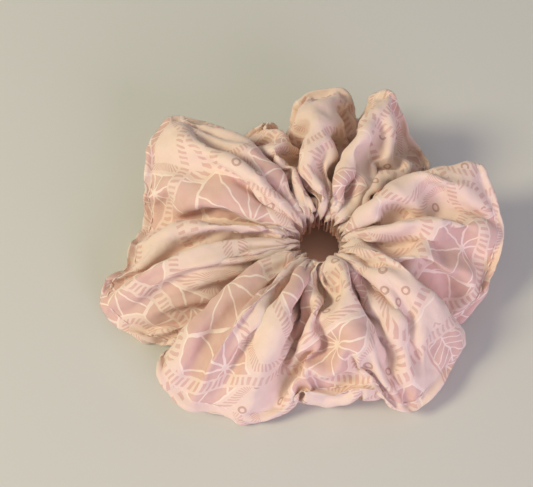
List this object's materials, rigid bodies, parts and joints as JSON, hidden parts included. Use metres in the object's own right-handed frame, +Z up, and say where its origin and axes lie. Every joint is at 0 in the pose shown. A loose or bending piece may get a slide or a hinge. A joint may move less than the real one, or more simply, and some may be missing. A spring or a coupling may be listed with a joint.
{
  "type": "scrunchie",
  "caption": "Full fabric scrunchie: a printed cotton tube gathered on a ring of flat elastic, lying flat with its folds spread out.",
  "frame": {"origin": "middle of the hair opening, half way up the elastic", "axes": "+Z up along the opening, away from the surface the scrunchie lies on; +X along its longest extent"},
  "size_m": [0.1172, 0.0999, 0.038],
  "materials": {
    "printed_cotton": "matt woven cotton with a pale pink print",
    "braided_elastic": "matt braided",
    "sewing_thread": "spun polyester"
  },
  "bodies": {
    "gather_01": {"cover_gather_01": "printed_cotton", "elastic_segment_01": "braided_elastic", "long_seam_thread_01": "sewing_thread", "elastic_lapped_end": "braided_elastic", "elastic_join_thread": "sewing_thread"},
    "gather_02": {"cover_gather_02": "printed_cotton", "elastic_segment_02": "braided_elastic", "long_seam_thread_02": "sewing_thread"},
    "gather_03": {"cover_gather_03": "printed_cotton", "elastic_segment_03": "braided_elastic", "long_seam_thread_03": "sewing_thread"},
    "gather_04": {"cover_gather_04": "printed_cotton", "elastic_segment_04": "braided_elastic", "long_seam_thread_04": "sewing_thread"},
    "gather_05": {"cover_gather_05": "printed_cotton", "elastic_segment_05": "braided_elastic", "long_seam_thread_05": "sewing_thread"},
    "gather_06": {"cover_gather_06": "printed_cotton", "elastic_segment_06": "braided_elastic", "long_seam_thread_06": "sewing_thread"},
    "gather_07": {"cover_gather_07": "printed_cotton", "elastic_segment_07": "braided_elastic", "long_seam_thread_07": "sewing_thread"},
    "gather_08": {"cover_gather_08": "printed_cotton", "elastic_segment_08": "braided_elastic", "long_seam_thread_08": "sewing_thread"},
    "gather_09": {"cover_gather_09": "printed_cotton", "elastic_segment_09": "braided_elastic", "long_seam_thread_09": "sewing_thread"},
    "gather_10": {"cover_gather_10": "printed_cotton", "elastic_segment_10": "braided_elastic", "long_seam_thread_10": "sewing_thread"},
    "gather_11": {"cover_gather_11": "printed_cotton", "elastic_segment_11": "braided_elastic", "long_seam_thread_11": "sewing_thread"},
    "gather_12": {"cover_gather_12": "printed_cotton", "elastic_segment_12": "braided_elastic", "long_seam_thread_12": "sewing_thread"},
    "gather_13": {"cover_gather_13": "printed_cotton", "elastic_segment_13": "braided_elastic", "long_seam_thread_13": "sewing_thread"},
    "gather_14": {"cover_gather_14": "printed_cotton", "elastic_segment_14": "braided_elastic", "long_seam_thread_14": "sewing_thread"},
    "gather_15": {"cover_gather_15": "printed_cotton", "elastic_segment_15": "braided_elastic", "long_seam_thread_15": "sewing_thread"},
    "gather_16": {"cover_gather_16": "printed_cotton", "elastic_segment_16": "braided_elastic", "long_seam_thread_16": "sewing_thread"},
    "closing_seam": {"closing_seam_thread": "sewing_thread"}
  },
  "joints": [
    {"name": "stretch_01", "type": "slide", "parent": "gather_01", "child": "gather_02", "axis": [-0.8315, -0.5556, 0], "range_m": [0, 0.00858], "stiffness_N_per_m": 400},
    {"name": "stretch_02", "type": "slide", "parent": "gather_02", "child": "gather_03", "axis": [-0.5556, -0.8315, 0], "range_m": [0, 0.00858], "stiffness_N_per_m": 400},
    {"name": "stretch_03", "type": "slide", "parent": "gather_03", "child": "gather_04", "axis": [-0.1951, -0.9808, 0], "range_m": [0, 0.00858], "stiffness_N_per_m": 400},
    {"name": "stretch_04", "type": "slide", "parent": "gather_04", "child": "gather_05", "axis": [0.1951, -0.9808, 0], "range_m": [0, 0.00858], "stiffness_N_per_m": 400},
    {"name": "stretch_05", "type": "slide", "parent": "gather_05", "child": "gather_06", "axis": [0.5556, -0.8315, 0], "range_m": [0, 0.00858], "stiffness_N_per_m": 400},
    {"name": "stretch_06", "type": "slide", "parent": "gather_06", "child": "gather_07", "axis": [0.8315, -0.5556, 0], "range_m": [0, 0.00858], "stiffness_N_per_m": 400},
    {"name": "stretch_07", "type": "slide", "parent": "gather_07", "child": "gather_08", "axis": [0.9808, -0.1951, 0], "range_m": [0, 0.00858], "stiffness_N_per_m": 400},
    {"name": "stretch_08", "type": "slide", "parent": "gather_08", "child": "gather_09", "axis": [0.9808, 0.1951, 0], "range_m": [0, 0.00858], "stiffness_N_per_m": 400},
    {"name": "stretch_09", "type": "slide", "parent": "gather_09", "child": "gather_10", "axis": [0.8315, 0.5556, 0], "range_m": [0, 0.00858], "stiffness_N_per_m": 400},
    {"name": "stretch_10", "type": "slide", "parent": "gather_10", "child": "gather_11", "axis": [0.5556, 0.8315, 0], "range_m": [0, 0.00858], "stiffness_N_per_m": 400},
    {"name": "stretch_11", "type": "slide", "parent": "gather_11", "child": "gather_12", "axis": [0.1951, 0.9808, 0], "range_m": [0, 0.00858], "stiffness_N_per_m": 400},
    {"name": "stretch_12", "type": "slide", "parent": "gather_12", "child": "gather_13", "axis": [-0.1951, 0.9808, 0], "range_m": [0, 0.00858], "stiffness_N_per_m": 400},
    {"name": "stretch_13", "type": "slide", "parent": "gather_13", "child": "gather_14", "axis": [-0.5556, 0.8315, 0], "range_m": [0, 0.00858], "stiffness_N_per_m": 400},
    {"name": "stretch_14", "type": "slide", "parent": "gather_14", "child": "gather_15", "axis": [-0.8315, 0.5556, 0], "range_m": [0, 0.00858], "stiffness_N_per_m": 400},
    {"name": "stretch_15", "type": "slide", "parent": "gather_15", "child": "gather_16", "axis": [-0.9808, 0.1951, 0], "range_m": [0, 0.00858], "stiffness_N_per_m": 400},
    {"name": "stretch_16", "type": "slide", "parent": "gather_16", "child": "closing_seam", "axis": [-0.9808, -0.1951, 0], "range_m": [0, 0.00858]}
  ],
  "couplings": [
    {"joint": "stretch_02", "follows": "stretch_01", "ratio": 1},
    {"joint": "stretch_03", "follows": "stretch_01", "ratio": 1},
    {"joint": "stretch_04", "follows": "stretch_01", "ratio": 1},
    {"joint": "stretch_05", "follows": "stretch_01", "ratio": 1},
    {"joint": "stretch_06", "follows": "stretch_01", "ratio": 1},
    {"joint": "stretch_07", "follows": "stretch_01", "ratio": 1},
    {"joint": "stretch_08", "follows": "stretch_01", "ratio": 1},
    {"joint": "stretch_09", "follows": "stretch_01", "ratio": 1},
    {"joint": "stretch_10", "follows": "stretch_01", "ratio": 1},
    {"joint": "stretch_11", "follows": "stretch_01", "ratio": 1},
    {"joint": "stretch_12", "follows": "stretch_01", "ratio": 1},
    {"joint": "stretch_13", "follows": "stretch_01", "ratio": 1},
    {"joint": "stretch_14", "follows": "stretch_01", "ratio": 1},
    {"joint": "stretch_15", "follows": "stretch_01", "ratio": 1},
    {"joint": "stretch_16", "follows": "stretch_01", "ratio": 1}
  ]
}
